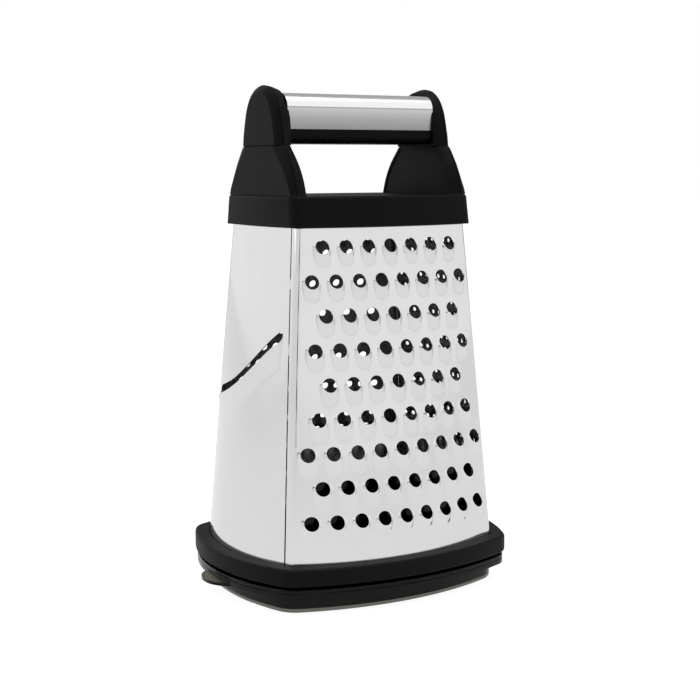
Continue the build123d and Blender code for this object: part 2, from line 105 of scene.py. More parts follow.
# Makes and links the nodes of a material or a world
class NodeMaker:
    def __init__(self, owner):
        owner.use_nodes = True
        self.nodes = owner.node_tree.nodes
        self.links = owner.node_tree.links

    def set(self, node, sockets):
        for key, value in sockets.items():
            slot = node.inputs[key]
            if isinstance(value, Wire):
                self.links.new(value.socket, slot)
            elif slot.type == "RGBA" and len(value) == 3:
                slot.default_value = (*value, 1.0)
            else:
                slot.default_value = value

    def node(self, kind, settings, sockets, output=0):
        made = self.nodes.new(kind)
        for key, value in settings.items():
            if key == "stops":
                while len(made.color_ramp.elements) < len(value):
                    made.color_ramp.elements.new(0.5)
                for element, (stop, tone) in zip(made.color_ramp.elements, value):
                    element.position = stop
                    element.color = (*tone, 1.0) if hasattr(tone, "__len__") else (tone, tone, tone, 1.0)
            else:
                setattr(made, key, value)
        self.set(made, sockets)
        return Wire(self, made.outputs[output])

    def blend(self, factor, low, high, kind="MIX"):
        settings = {"data_type": "RGBA", "blend_type": kind}
        return self.node("ShaderNodeMix", settings, {"Factor": factor, 6: low, 7: high}, 2)


class Finish(NodeMaker):
    def __init__(self, name, **own):
        self.material = bpy.data.materials.new(name)
        super().__init__(self.material)
        self.shader = self.nodes["Principled BSDF"]
        self.feed(**own)
        self.place = self.node("ShaderNodeTexCoord", {}, {}, "Object")

    def noise(self, scale, detail=3.0, roughness=0.5, along=None):
        sockets = {"Vector": along or self.place, "Scale": scale, "Detail": detail, "Roughness": roughness}
        return self.node("ShaderNodeTexNoise", {}, sockets, "Fac")

    # Noise with its own scale along each axis
    def streaks(self, scales, roughness):
        along = self.node("ShaderNodeMapping", {}, {"Vector": self.place, "Scale": scales})
        return self.noise(1.0, roughness=roughness, along=along)

    def bump(self, height, strength, distance):
        sockets = {"Strength": strength, "Distance": distance, "Height": height}
        self.set(self.shader, {"Normal": self.node("ShaderNodeBump", {}, sockets)})

    # Sets or links the shader's own sockets; a keyword's underscore is a space in the socket's name
    def feed(self, **links):
        self.set(self.shader, {key.replace("_", " "): value for key, value in links.items()})


# Finishes: a setting that ends in Share, Rough or Depth says how much its noise counts.
# Polished sheet, with faint rub marks and rolling lines up the face
polished = {
    "low": (0.70, 0.70, 0.695), "high": (0.77, 0.77, 0.765), "rub": 45.0,
    "drawn": (900.0, 900.0, 14.0), "drawnNoise": 0.6, "rough": 0.07, "rubRough": 0.05, "drawnRough": 0.03,
    "wave": 26.0, "waveDetail": 1.0, "waveShare": 0.35, "waveDepth": 0.0004,
}


def polishedSteel(p):
    f = Finish("polishedSteel", Metallic=1.0)
    rub = f.noise(p["rub"])
    drawn = f.streaks(p["drawn"], p["drawnNoise"])
    f.feed(Base_Color=f.blend(rub, p["low"], p["high"]))
    f.feed(Roughness=p["rough"] + rub * p["rubRough"] + drawn * p["drawnRough"])
    f.bump(f.noise(p["wave"], p["waveDetail"]), p["waveShare"], p["waveDepth"])
    return f.material


# Duller steel for the screws. The sheets' inner faces use the same recipe with darker tones, which paint the
# shade inside the grater
insidePaintedShade = {
    "low": (0.20, 0.19, 0.18), "high": (0.30, 0.29, 0.28),
    "stain": 60.0, "stainRough": 0.15, "rough": 0.36,
    "grain": 500.0, "grainDetail": 2.0, "grainShare": 0.1, "grainDepth": 0.0001,
}
screwTones = {
    "low": (0.42, 0.42, 0.41), "high": (0.58, 0.58, 0.57),
    "stain": 900.0, "stainRough": 0.15, "rough": 0.25,
    "grain": 900.0, "grainDetail": 3.0, "grainShare": 0.1, "grainDepth": 0.0001,
}


def dullSteelAndPaintedShade(name, p):
    f = Finish(name, Metallic=1.0)
    stain = f.noise(p["stain"])
    f.feed(Base_Color=f.blend(stain, p["low"], p["high"]), Roughness=stain * p["stainRough"] + p["rough"])
    f.bump(f.noise(p["grain"], p["grainDetail"]), p["grainShare"], p["grainDepth"])
    return f.material


# Bar sleeve: brushed sides with a polished rounded edge above. The stops are tones from low to high, which
# are heights in millimetres; they paint shade that darkens down the sides, a thin dark line and a painted
# highlight on the rounded edge
sleeve = {
    "low": 232.4, "high": 250.0, "edge": 0.61, "brushed": (6.0, 2500.0, 2500.0), "brushedNoise": 0.6,
    "dark": (0.88, 0.88, 0.875), "light": (1.0, 1.0, 0.995), "grainShare": 0.12, "grainDepth": 0.0001,
    "rough": 0.12, "grainRough": 0.10, "satinRough": 0.16,
    "stops": ((0, 0.33), (0.3, 0.45), (0.58, 0.64), (0.60, 0.40), (0.615, 0.42), (0.635, 0.95), (0.88, 0.95),
              (0.985, 0.93), (1, 0.92)),
}


def brushedSteelPaintedLight(p):
    f = Finish("brushedSteelPaintedLight", Metallic=1.0)
    grain = f.streaks(p["brushed"], p["brushedNoise"])
    height = f.node("ShaderNodeSeparateXYZ", {}, {0: f.place}, "Z")
    share = ((height / mm - p["low"]) / (p["high"] - p["low"])).clamp()
    # The height ramp paints light and shade into the colour: painted shade lower on the sides, a painted
    # highlight on the rounded edge
    tone = f.node("ShaderNodeValToRGB", {"stops": p["stops"]}, {"Fac": share})
    satin = 1 - (share > p["edge"])
    f.feed(Base_Color=f.blend(1.0, tone, f.blend(grain, p["dark"], p["light"]), "MULTIPLY"))
    f.feed(Roughness=grain * p["grainRough"] + p["rough"] + satin * p["satinRough"])
    f.bump(grain * satin, p["grainShare"], p["grainDepth"])
    return f.material


# Moulded black plastic and the foot ring, with a fine grain
black = {"tone": (0.0040, 0.0041, 0.0042), "gloss": 0.07, "rough": 0.42, "speck": 0.15}
rubber = {"tone": (0.0045, 0.0050, 0.0050), "gloss": 0.10, "rough": 0.46, "speck": 0.3}
moulded = {
    "cloud": 35.0, "grain": 2200.0, "grainDetail": 2.0, "cloudShare": 0.7, "spread": 0.2,
    "cloudRough": 0.08, "grainRough": 0.06, "speckDepth": 0.00005,
}


def mouldedPlastic(name, own, p):
    f = Finish(name, Specular_IOR_Level=own["gloss"])
    cloud = f.noise(p["cloud"])
    grain = f.noise(p["grain"], p["grainDetail"])
    low = tuple((1 - p["spread"]) * part for part in own["tone"])
    high = tuple((1 + p["spread"]) * part for part in own["tone"])
    f.feed(Base_Color=f.blend(cloud * p["cloudShare"] + grain * (1 - p["cloudShare"]), low, high))
    f.feed(Roughness=cloud * p["cloudRough"] + grain * p["grainRough"] + own["rough"])
    f.bump(grain, own["speck"], p["speckDepth"])
    return f.material


# See-through smoke plastic; the thin tab lets more light through than the tray. Its places are millimetres
smoke = {
    "gloss": 0.1, "bend": 1.27, "low": (0.022, 0.019, 0.015), "high": (0.032, 0.028, 0.022),
    "tab": (0.20, 0.186, 0.158), "tabStart": -70.5, "tabFade": 4.0,
    "cloud": 28.0, "cloudDetail": 2.0, "cloudRough": 0.06, "rough": 0.12,
}


def smokePlastic(p):
    f = Finish("smokePlastic", Specular_IOR_Level=p["gloss"], Transmission_Weight=1.0, IOR=p["bend"])
    cloud = f.noise(p["cloud"], p["cloudDetail"])
    side = f.node("ShaderNodeSeparateXYZ", {}, {0: f.place}, "X")
    tab = ((p["tabStart"] - side / mm) / p["tabFade"]).clamp()
    f.feed(Base_Color=f.blend(tab, f.blend(cloud, p["low"], p["high"]), p["tab"]))
    f.feed(Roughness=cloud * p["cloudRough"] + p["rough"])
    return f.material


steelFinish = polishedSteel(polished)
insideShadeFinish = dullSteelAndPaintedShade("insidePaintedShadeSteel", insidePaintedShade)
screwFinish = dullSteelAndPaintedShade("screwSteel", screwTones)
sleeveFinish = brushedSteelPaintedLight(sleeve)
blackFinish = mouldedPlastic("blackPlastic", black, moulded)
ringFinish = mouldedPlastic("ringRubber", rubber, moulded)
smokeFinish = smokePlastic(smoke)
print("finishes made")

finishes = {
    steelFinish: ("coarse_panel", "medium_panel", "fine_panel", "slicer_panel"),
    screwFinish: ("ring_screws", "post_screws", "bar_screws"),
    sleeveFinish: ("handle_sleeve",),
    blackFinish: ("top_collar", "clamp_frame", "left_post", "right_post", "left_bell_cover",
                  "right_bell_cover", "left_arch_cap", "right_arch_cap", "handle_core", "base_inner_frame"),
    ringFinish: ("base_ring",),
    smokeFinish: ("storage_tub", "storage_lid"),
}
for finish, names in finishes.items():
    for name in names:
        for slot in nodes[name].material_slots:
            slot.material = finish


def looseObject(name, points, faces=()):
    mesh = bpy.data.meshes.new(name)
    mesh.from_pydata([tuple(point) for point in points], [], list(faces))
    made = bpy.data.objects.new(name, mesh)
    bpy.context.collection.objects.link(made)
    return made


def meshPiece(name, points, faces, finish, sharp=None):
    piece = looseObject(name, points, faces)
    mesh = piece.data
    mesh.materials.append(finish)
    mesh.polygons.foreach_set("use_smooth", [True] * len(mesh.polygons))
    if sharp:
        mesh.set_sharp_from_angle(angle=math.radians(sharp))
    return piece


# Share from 0 to 1 with a gentle start and end
def eased(share):
    return share**2 * (3 - 2 * share)


# Points and faces after doubles are merged
def welded(points, faces, near):
    mesh = bmesh.new()
    verts = [mesh.verts.new(point) for point in points]
    for face in faces:
        mesh.faces.new([verts[index] for index in face])
    bmesh.ops.remove_doubles(mesh, verts=mesh.verts, dist=near)
    mesh.verts.index_update()
    joined = np.array([tuple(vertex.co) for vertex in mesh.verts])
    kept = [tuple(vertex.index for vertex in face.verts) for face in mesh.faces]
    mesh.free()
    return joined, kept


# Steel shell as in the CAD, in millimetres: pairs are the values at the foot and at the neck. The gaps are
# what the narrow faces leave open at the front and back seams
shell = {
    "foot": 24.0, "rise": 161.2, "low": 17.6, "high": 196.0, "corner": 4.0, "steel": 0.6,
    "halfX": (70.5, 50.9), "halfY": (58.1, 39.7), "bowX": (11.2, 2.1), "bowY": (13.3, 5.0),
    "seam": (2.4, 3.5), "gap": 0.7, "backGap": 0.15, "step": 0.02, "sharp": 38,
}


def atLevel(name, level):
    low, high = shell[name]
    return low + (level - shell["foot"]) / shell["rise"] * (high - low)


def faceShape(level, wide):
    depth, bow = ("halfY", "bowY") if wide else ("halfX", "bowX")
    other, otherBow = ("halfX", "bowX") if wide else ("halfY", "bowY")
    side = atLevel(other, level) - atLevel(otherBow, level)
    depth, bow = atLevel(depth, level), atLevel(bow, level)
    return depth, side, (side**2 + bow**2) / (2 * bow)


# Front arc, rounded corner and side arc up to the seam, as lengths from the middle of the front
def outlineParts(level):
    depth, side, radius = faceShape(level, True)
    depthX, sideY, radiusX = faceShape(level, False)
    frontY = radius - depth
    sideX = depthX - radiusX
    reach, reachX = radius - shell["corner"], radiusX - shell["corner"]
    apart = np.hypot(sideX, frontY)
    alongX, alongY = sideX / apart, -frontY / apart
    near = (reach**2 - reachX**2 + apart**2) / (2 * apart)
    off = np.sqrt(reach**2 - near**2)
    middleX = near * alongX - off * alongY
    middleY = frontY + near * alongY + off * alongX
    start = np.arctan2(middleY - frontY, middleX)
    end = np.arctan2(middleY, middleX - sideX)
    cut = radius * np.cos(start)
    bend = shell["corner"] * (end - start)
    seam = np.arcsin(-(sideY - atLevel("seam", level)) / radiusX)
    return {"radius": radius, "frontY": frontY, "sideX": sideX, "radiusX": radiusX, "middleX": middleX,
            "middleY": middleY, "start": start, "end": end, "cut": cut, "bend": bend,
            "edge": cut + bend + radiusX * (seam - end)}


def wideSkin(along, level):
    o = outlineParts(level)
    corner = shell["corner"]
    run = np.abs(along)
    front = np.clip(run, 0, o["cut"])
    turn = o["start"] + np.clip(run - o["cut"], 0, o["bend"]) / corner
    swing = o["end"] + (run - o["cut"] - o["bend"]) / o["radiusX"]
    flatX, flatY = front, o["frontY"] - np.sqrt(o["radius"]**2 - front**2)
    x = np.where(run < o["cut"], flatX, o["middleX"] + corner * np.cos(turn))
    y = np.where(run < o["cut"], flatY, o["middleY"] + corner * np.sin(turn))
    beyond = run > o["cut"] + o["bend"]
    x = np.where(beyond, o["sideX"] + o["radiusX"] * np.cos(swing), x)
    y = np.where(beyond, o["radiusX"] * np.sin(swing), y)
    return np.stack([np.sign(along) * x, y, level], axis=-1)


def narrowSkin(along, level):
    depth, side, radius = faceShape(level, False)
    return np.stack([along, radius - depth - np.sqrt(radius**2 - along**2), level], axis=-1)


# Bends points (across, level, height) onto a face; the outer columns are squeezed up to the seam
def ontoShell(flat, turn, span, play):
    wide = turn % 180 == 0
    skin = wideSkin if wide else narrowSkin
    across, level, height = flat.T
    if wide:
        edge = outlineParts(level)["edge"]
    else:
        gap = np.where(across * (turn - 180) > 0, shell["gap"], shell["backGap"])
        edge = faceShape(level, False)[1] - atLevel("seam", level) - gap
    run = np.abs(across)
    safe = edge - play
    run = np.where(run < safe, run, safe + (run - safe) * play / (span - safe))
    along = np.sign(across) * run
    step = shell["step"]
    ahead = skin(along + step, level) - skin(along - step, level)
    rise = skin(along, level + step) - skin(along, level - step)
    out = np.cross(ahead, rise)
    out /= np.linalg.norm(out, axis=1)[:, None]
    cosine, sine = math.cos(math.radians(turn)), math.sin(math.radians(turn))
    spin = np.array([[cosine, sine, 0], [-sine, cosine, 0], [0, 0, 1]])
    return skin(along, level) @ spin, out @ spin, height


# Bent steel sheet with its thickness, from a flat mesh: outer faces, inner faces and the cut edges
def steelSheet(name, flat, faces, p, span):
    place, out, height = ontoShell(flat, p["turn"], span, p["play"])
    outer = place + out * height[:, None]
    inner = place + out * (height - shell["steel"])[:, None]
    count = len(flat)
    edges = {edge for face in faces for edge in zip(face, face[1:] + face[:1])}
    border = [edge for edge in edges if edge[::-1] not in edges]
    walls = [(second, first, first + count, second + count) for first, second in border]
    backs = [tuple(index + count for index in reversed(face)) for face in faces]
    points = np.vstack([outer, inner]) * mm
    piece = meshPiece(name, points, faces + backs + walls, p["finish"], shell["sharp"])
    # The inner faces get the darker steel, which is painted shade inside the grater
    piece.data.materials.append(insideShadeFinish)
    inside = [0] * len(faces) + [1] * len(backs) + [0] * len(walls)
    piece.data.polygons.foreach_set("material_index", inside)
    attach(piece, "grater")
    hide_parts(p["node"])
    print(name, "made,", len(piece.data.polygons), "faces")


def gridMesh(across, up):
    points = np.array([(x, y, 0.0) for y in up for x in across])
    wide = len(across)
    corners = [row * wide + column for row in range(len(up) - 1) for column in range(wide - 1)]
    return points, [(corner, corner + 1, corner + wide + 1, corner + wide) for corner in corners]


# Plain strip above or below the rows of teeth
def plainBand(columns, low, high, step):
    return gridMesh(columns, np.linspace(low, high, round((high - low) / step) + 1))


# Perforations: a tile with one tooth goes on every hole's place, and plain tiles fill up the rows
def perforationTree():
    tree = bpy.data.node_groups.new("perforations", "GeometryNodeTree")
    face = tree.interface
    face.new_socket("Bands", in_out="INPUT", socket_type="NodeSocketGeometry")
    for name in ("Tooth tile", "Tooth spots", "Plain tile", "Plain spots"):
        face.new_socket(name, in_out="INPUT", socket_type="NodeSocketObject")
    face.new_socket("Tile scale", in_out="INPUT", socket_type="NodeSocketFloat")
    face.new_socket("Finish", in_out="INPUT", socket_type="NodeSocketMaterial")
    face.new_socket("Panel", in_out="OUTPUT", socket_type="NodeSocketGeometry")
    enter = tree.nodes.new("NodeGroupInput")
    leave = tree.nodes.new("NodeGroupOutput")
    join = tree.nodes.new("GeometryNodeJoinGeometry")
    tree.links.new(enter.outputs["Bands"], join.inputs[0])
    for kind in ("Tooth", "Plain"):
        tile = tree.nodes.new("GeometryNodeObjectInfo")
        spots = tree.nodes.new("GeometryNodeObjectInfo")
        place = tree.nodes.new("GeometryNodeInstanceOnPoints")
        tree.links.new(enter.outputs[kind + " tile"], tile.inputs["Object"])
        tree.links.new(enter.outputs[kind + " spots"], spots.inputs["Object"])
        tree.links.new(spots.outputs["Geometry"], place.inputs["Points"])
        tree.links.new(tile.outputs["Geometry"], place.inputs["Instance"])
        tree.links.new(enter.outputs["Tile scale"], place.inputs["Scale"])
        tree.links.new(place.outputs["Instances"], join.inputs[0])
    realize = tree.nodes.new("GeometryNodeRealizeInstances")
    colour = tree.nodes.new("GeometryNodeSetMaterial")
    tree.links.new(join.outputs[0], realize.inputs[0])
    tree.links.new(realize.outputs[0], colour.inputs["Geometry"])
    tree.links.new(enter.outputs["Finish"], colour.inputs["Material"])
    tree.links.new(colour.outputs["Geometry"], leave.inputs["Panel"])
    return tree


# Height round a hole: a lip at its lower half that runs out in a rounded tongue
def toothHeight(across, below, p):
    start = p["hole"] / 2
    share = np.clip((below - start) / (p["tongue"] - start), 0, 2)
    ridge = p["rise"] * (1 - share**p["fall"]) + np.maximum(start - below, 0) * p["lean"]
    curve = p["crown"] - np.sqrt(np.maximum(p["crown"]**2 - across**2, 0))
    raw = ridge - curve - p["steep"] * np.maximum(np.abs(across) - p["crown"], 0)
    fade = np.clip((below + p["fadeTop"]) / (p["fadeTop"] + p["fadeEnd"]), 0, 1)
    return (raw + np.sqrt(raw**2 + p["soft"]**2)) / 2 * eased(fade)


# Burr of a punched fine hole: a raised, jagged rim
def craterHeight(across, below, p):
    far = np.hypot(across, below) - p["hole"] / 2
    ragged = 1 + p["ragged"] * np.cos(p["jags"] * np.arctan2(across, below))
    return p["rise"] * ragged * np.exp(-far / p["rim"])


# Tile round one hole: rings of points from the hole's edge out to the tile's border
def toothTile(p):
    half = p["pitch"] / 2
    low, high = -p["below"], p["row"] - p["below"]
    across = np.linspace(-half, half, p["across"] + 1)
    up = np.linspace(low, high, p["up"] + 1)
    border = [(x, low) for x in across[:-1]] + [(half, y) for y in up[:-1]]
    border = np.array(border + [(x, high) for x in across[:0:-1]] + [(-half, y) for y in up[:0:-1]])
    hole = border / np.hypot(*border.T)[:, None] * p["hole"] / 2
    shape = craterHeight if "ragged" in p else toothHeight
    rings = []
    for share in np.linspace(0, 1, p["rings"] + 1)**p["crowd"]:
        ring = hole + (border - hole) * share
        height = shape(ring[:, 0], -ring[:, 1], p)
        gap = np.minimum(half - np.abs(ring[:, 0]), np.minimum(ring[:, 1] - low, high - ring[:, 1]))
        rings.append(np.column_stack([ring, height * eased(np.clip(gap / p["calm"], 0, 1))]))
    size = len(border)
    faces = []
    for inner in range(0, p["rings"] * size, size):
        outer = inner + size
        for index in range(size):
            after = (index + 1) % size
            faces.append((inner + index, outer + index, outer + after, inner + after))
    return np.vstack(rings), faces


# Flat panel from the Geometry Nodes tree, then bent onto its face of the shell. The number of teeth in a
# row is odd and even by turns
def perforatedPanel(name, tree, p):
    wide = p["turn"] % 180 == 0
    step = p["pitch"] / p["across"]
    top = shell["foot"] + shell["rise"] - p["topDrop"]
    spots, plain = [], []
    level = top
    odd = True
    while level > shell["foot"] + p["bottomRise"]:
        count = math.floor(2 * (faceShape(level, wide)[1] - p["margin"]) / p["pitch"]) + 1
        count -= (count % 2 == 1) != odd
        spots += [((index - (count - 1) / 2) * p["pitch"], level, 0) for index in range(count)]
        for cell in range(count * p["across"] // 2, p["columns"], 2):
            plain += [(sign * (cell + 1) * step, level, 0) for sign in (-1, 1)]
        odd = not odd
        level -= p["row"]
    lowest = level + p["row"] - p["below"]
    highest = top + p["row"] - p["below"]
    columns = np.arange(-p["columns"], p["columns"] + 1) * step
    upper, upperFaces = plainBand(columns, highest, shell["high"], step)
    lower, lowerFaces = plainBand(columns, shell["low"], lowest, step)
    lowerFaces = [tuple(index + len(upper) for index in face) for face in lowerFaces]
    plainUp = np.linspace(-p["below"], p["row"] - p["below"], p["up"] + 1)
    base = looseObject(name + "Bands", np.vstack([upper, lower]), upperFaces + lowerFaces)
    parts = {
        "Tooth tile": looseObject(name + "Tooth", *toothTile(p)),
        "Tooth spots": looseObject(name + "Spots", spots),
        "Plain tile": looseObject(name + "Plain", *gridMesh(np.array([-1, 0, 1]) * step, plainUp)),
        "Plain spots": looseObject(name + "PlainSpots", plain),
    }
    modifier = base.modifiers.new("perforations", "NODES")
    modifier.node_group = tree
    sockets = {item.name: item.identifier for item in tree.interface.items_tree if item.in_out == "INPUT"}
    for label, part in parts.items():
        modifier[sockets[label]] = part
    modifier[sockets["Tile scale"]] = 1.0
    modifier[sockets["Finish"]] = p["finish"]
    graph = bpy.context.evaluated_depsgraph_get()
    made = bpy.data.meshes.new_from_object(base.evaluated_get(graph))
    base.modifiers.clear()
    points = np.array([tuple(vertex.co) for vertex in made.vertices])
    faces = [tuple(polygon.vertices) for polygon in made.polygons]
    for loose in (base, *parts.values()):
        bpy.data.objects.remove(loose)
    bpy.data.meshes.remove(made)
    steelSheet(name, *welded(points, faces, p["weld"]), p, step * p["columns"])


# Panel settings in millimetres; turn is the face's side of the shell in degrees. Columns, rings, across and
# up count steps of the mesh
tree = perforationTree()
coarse = {
    "turn": 0, "node": "coarse_panel", "finish": steelFinish, "columns": 42, "play": 4.6, "weld": 0.01,
    "hole": 6.9, "pitch": 12.16, "row": 16.51, "margin": 7.0, "topDrop": 9.4, "bottomRise": 18.0,
    "below": 12.2, "across": 8, "up": 10, "rings": 10, "crowd": 1.15, "calm": 1.0, "rise": 1.85,
    "tongue": 8.8, "fall": 1.6, "lean": 0.2, "crown": 5.6, "steep": 3, "soft": 0.35,
    "fadeTop": 1.5, "fadeEnd": 2.2,
}
perforatedPanel("coarsePanel", tree, coarse)
medium = {
    "turn": 180, "node": "medium_panel", "finish": steelFinish, "columns": 36, "play": 4.4, "weld": 0.01,
    "hole": 3.8, "pitch": 7.2, "row": 8.25, "margin": 7.5, "topDrop": 9.4, "bottomRise": 18.0,
    "below": 5.6, "across": 4, "up": 4, "rings": 4, "crowd": 1.0, "calm": 0.7, "rise": 1.0,
    "tongue": 5.2, "fall": 1.4, "lean": 0.2, "crown": 3.2, "steep": 3, "soft": 0.25,
    "fadeTop": 1.4, "fadeEnd": 0.6,
}
perforatedPanel("mediumPanel", tree, medium)
fine = {
    "turn": 90, "node": "fine_panel", "finish": steelFinish, "columns": 34, "play": 1.5, "weld": 0.01,
    "hole": 2.2, "pitch": 5.4, "row": 6.6, "margin": 6.0, "topDrop": 9.4, "bottomRise": 18.0,
    "below": 3.3, "across": 4, "up": 4, "rings": 3, "crowd": 1.2, "calm": 0.9, "rise": 0.85,
    "ragged": 0.35, "jags": 8, "rim": 0.7,
}
perforatedPanel("finePanel", tree, fine)


# Slicing panel: columns across the face, and rows that follow the sloping slot and its raised blade. The
# slot's middle line is a smooth curve near the places in "line", each (across, level). "rows" counts the
# mesh rows of the foot, the blade, the open slot, the brow above it and the top
slicer = {
    "turn": 270, "node": "slicer_panel", "finish": steelFinish, "play": 2.0, "weld": 0.001,
    "line": ((-30, 133.4), (-25, 130.6), (-20, 126.8), (-15, 122.7), (-10, 119.1), (-5, 115.5), (0, 112.0),
             (5, 109.1), (10, 106.8), (15, 104.7), (20, 102.6), (25, 101.0), (34.5, 98.9)),
    "degree": 4, "beyond": 0.3, "gap": 5.0, "front": 30.0, "back": 34.5, "blade": 13.0, "rise": 2.2,
    "blend": 3.4, "brow": 4.0, "outer": (33.5, 37, 40, 44, 50, 60), "columns": 44, "endColumns": 8,
    "rows": (24, 14, 1, 4, 20),
}


def slicerPanel(p):
    run = (p["front"] + p["back"]) / 2
    middle = (p["back"] - p["front"]) / 2
    radius = p["gap"] / 2
    ends = radius * np.sin(np.linspace(0, math.pi / 2, p["endColumns"]))
    spread = middle + np.linspace(-1, 1, p["columns"]) * (run - radius)
    outer = np.array(p["outer"], float)
    columns = np.concatenate([-outer, spread, spread[0] - ends, spread[-1] + ends, outer[1:]])
    columns = np.unique(np.round(columns, decimals=4))
    side = columns - middle
    far = np.abs(side)
    line = np.polyfit(*zip(*p["line"]), p["degree"])
    inside = np.clip(columns, -p["front"], p["back"])
    tilt = np.hypot(1, np.polyval(np.polyder(line), inside))
    opening = np.sqrt(1 - np.clip((far - run + radius) / radius, 0, 1)**2) * radius * tilt
    slot = np.polyval(line, inside) - np.maximum(far - run, 0) * np.sign(side) * p["beyond"]
    lift = p["rise"] * np.clip((run - far) / p["blend"], 0, 1)
    flat = np.ones(len(columns))
    levels = [
        shell["low"] * flat, slot - p["blade"], slot - opening, slot + opening, slot + p["brow"],
        shell["high"] * flat,
    ]
    rows, heights = [], []
    for part, count in enumerate(p["rows"]):
        for share in np.linspace(0, 1, count, endpoint=False):
            rows.append(levels[part] + share * (levels[part + 1] - levels[part]))
            heights.append(lift * (share if part == 1 else part == 2))
    rows.append(levels[-1])
    heights.append(0 * lift)
    wide = len(columns)
    points = np.column_stack([np.tile(-columns, len(rows)), np.concatenate(rows), np.concatenate(heights)])
    openRow = sum(p["rows"][:2])
    closedRows = [row for row in range(len(rows) - 1) if row != openRow]
    corners = [row * wide + column for row in closedRows for column in range(wide - 1)]
    faces = [(corner + 1, corner, corner + wide, corner + wide + 1) for corner in corners]
    steelSheet("slicerPanel", *welded(points, faces, p["weld"]), p, outer[-1])


slicerPanel(slicer)


# Smooth line through points without overshoot
class SmoothLine:
    def __init__(self, along, points):
        self.along, self.points = along, points
        step = np.diff(along)[:, None]
        self.slope = np.diff(points, axis=0) / step
        before, after = self.slope[:-1], self.slope[1:]
        same = before * after > 0
        mean = np.where(same, 2 * before * after / np.where(same, before + after, 1), 0)
        self.tangent = np.vstack([self.slope[:1], mean, self.slope[-1:]])

    def __call__(self, spots):
        cell = np.clip(np.searchsorted(self.along, spots, side="right") - 1, 0, len(self.slope) - 1)
        step = (self.along[cell + 1] - self.along[cell])[:, None]
        share = (spots[:, None] - self.along[cell][:, None]) / step
        ease = eased(share)
        straight = self.points[cell] * (1 - ease) + self.points[cell + 1] * ease
        leave = self.tangent[cell] * step * share * (1 - share)**2
        reach = self.tangent[cell + 1] * step * share**2 * (1 - share)
        return straight + leave - reach


# Handle horns: ribs along X, each a half outline (Y, Z) in millimetres, from the foot up to the middle
horn = {
    "sideX": {"face": 50.8, "full": 48.2, "cover": 47.62, "post": 47.42, "waist": 45.3, "inner": 43.8,
              "rim": 41.6, "pan": 42.1},
    "bellFull": ((33.4, 200.0), (33.0, 200.7), (32.5, 203.0), (31.6, 207.0), (30.1, 211.0), (28.2, 215.0),
                 (25.5, 219.0), (22.2, 223.4), (21.3, 224.2), (20.6, 224.5)),
    "bellFace": ((32.6, 200.0), (32.2, 201.0), (31.2, 203.4), (29.0, 207.0), (26.2, 211.0), (22.9, 215.0),
                 (19.2, 219.0), (15.0, 223.2), (14.2, 223.9), (13.4, 224.1)),
    "bellRim": ((32.4, 200.0), (32.0, 200.8), (31.3, 203.0), (29.8, 207.0), (27.7, 211.0), (25.0, 215.0),
                (21.5, 219.0), (17.4, 223.2), (16.6, 224.1), (15.8, 224.5)),
    "archFull": ((19.9, 224.5), (19.2, 229.5), (18.2, 233.6), (17.1, 237.7), (15.9, 241.8), (14.3, 245.0),
                 (12.4, 248.0), (9.6, 250.6), (5.4, 252.9), (0.0, 253.95)),
    "archFace": ((16.6, 224.5), (15.9, 229.5), (15.0, 233.4), (14.0, 237.2), (12.7, 241.0), (11.3, 243.7),
                 (9.6, 246.1), (7.3, 248.2), (4.1, 249.9), (0.0, 250.6)),
    "archRim": ((17.3, 224.5), (17.2, 229.0), (17.0, 233.0), (16.4, 237.2), (15.2, 241.0), (13.4, 244.4),
                (11.5, 247.2), (8.9, 249.6), (5.0, 251.6), (0.0, 252.6)),
    "chamfer": 0.55, "waistShare": 0.15, "rimWidth": 1.5, "rimSlope": 0.4, "edge": 0.25,
    "samples": 36, "turns": 9, "weld": 0.001, "near": 0.01, "thin": 1e-7, "sharp": 32,
}


def hornRib(name, p, inset=0.0):
    corners = np.array(p[name])
    legs = np.hypot(*np.diff(corners, axis=0).T)
    along = np.concatenate([[0], np.cumsum(legs)]) / legs.sum()
    spots = np.linspace(0, 1, p["samples"])
    rib = SmoothLine(along, corners)(spots)
    ahead = np.gradient(rib, axis=0)
    out = np.stack([ahead[:, 1], -ahead[:, 0]], axis=1) / np.hypot(*ahead.T)[:, None]
    rib = rib - out * inset
    rib[:, 0] = np.maximum(rib[:, 0], 0)
    if corners[-1, 0] == 0:
        rib[-1, 0] = 0
    return rib


# Closed piece through ribs, given as (distance from the middle, half outline); its two end rings are sharp
def hornSkin(name, node, side, ribs, p):
    loops = []
    for depth, rib in ribs:
        right = np.column_stack([np.full(len(rib), side * depth), -rib[:, 0], rib[:, 1]])
        left = right[::-1] * (1, -1, 1)
        loops.append(np.vstack([right, left]))
    size = len(loops[0])
    faces = []
    for start in range(0, size * (len(loops) - 1), size):
        for index in range(size):
            after = (index + 1) % size
            faces.append((start + index, start + after, start + size + after, start + size + index))
    half = size // 2
    last = size * (len(loops) - 1)
    for index in range(half - 1):
        mirror = size - 1 - index
        faces.append((index, mirror, mirror - 1, index + 1))
        faces.append((last + index, last + index + 1, last + mirror - 1, last + mirror))
    points, faces = welded(np.vstack(loops), faces, p["weld"])
    piece = meshPiece(name, points * mm, faces, blackFinish, p["sharp"])
    mesh = bmesh.new()
    mesh.from_mesh(piece.data)
    bmesh.ops.dissolve_degenerate(mesh, dist=p["thin"], edges=mesh.edges)
    bmesh.ops.recalc_face_normals(mesh, faces=mesh.faces)
    for edge in mesh.edges:
        depths = [abs(vertex.co.x) / mm for vertex in edge.verts]
        for end in (ribs[0][0], ribs[-1][0]):
            if all(abs(depth - end) < p["near"] for depth in depths):
                edge.smooth = False
    mesh.to_mesh(piece.data)
    mesh.free()
    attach(piece, "grater")
    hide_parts(node)
    print(name, "made,", len(piece.data.polygons), "faces")


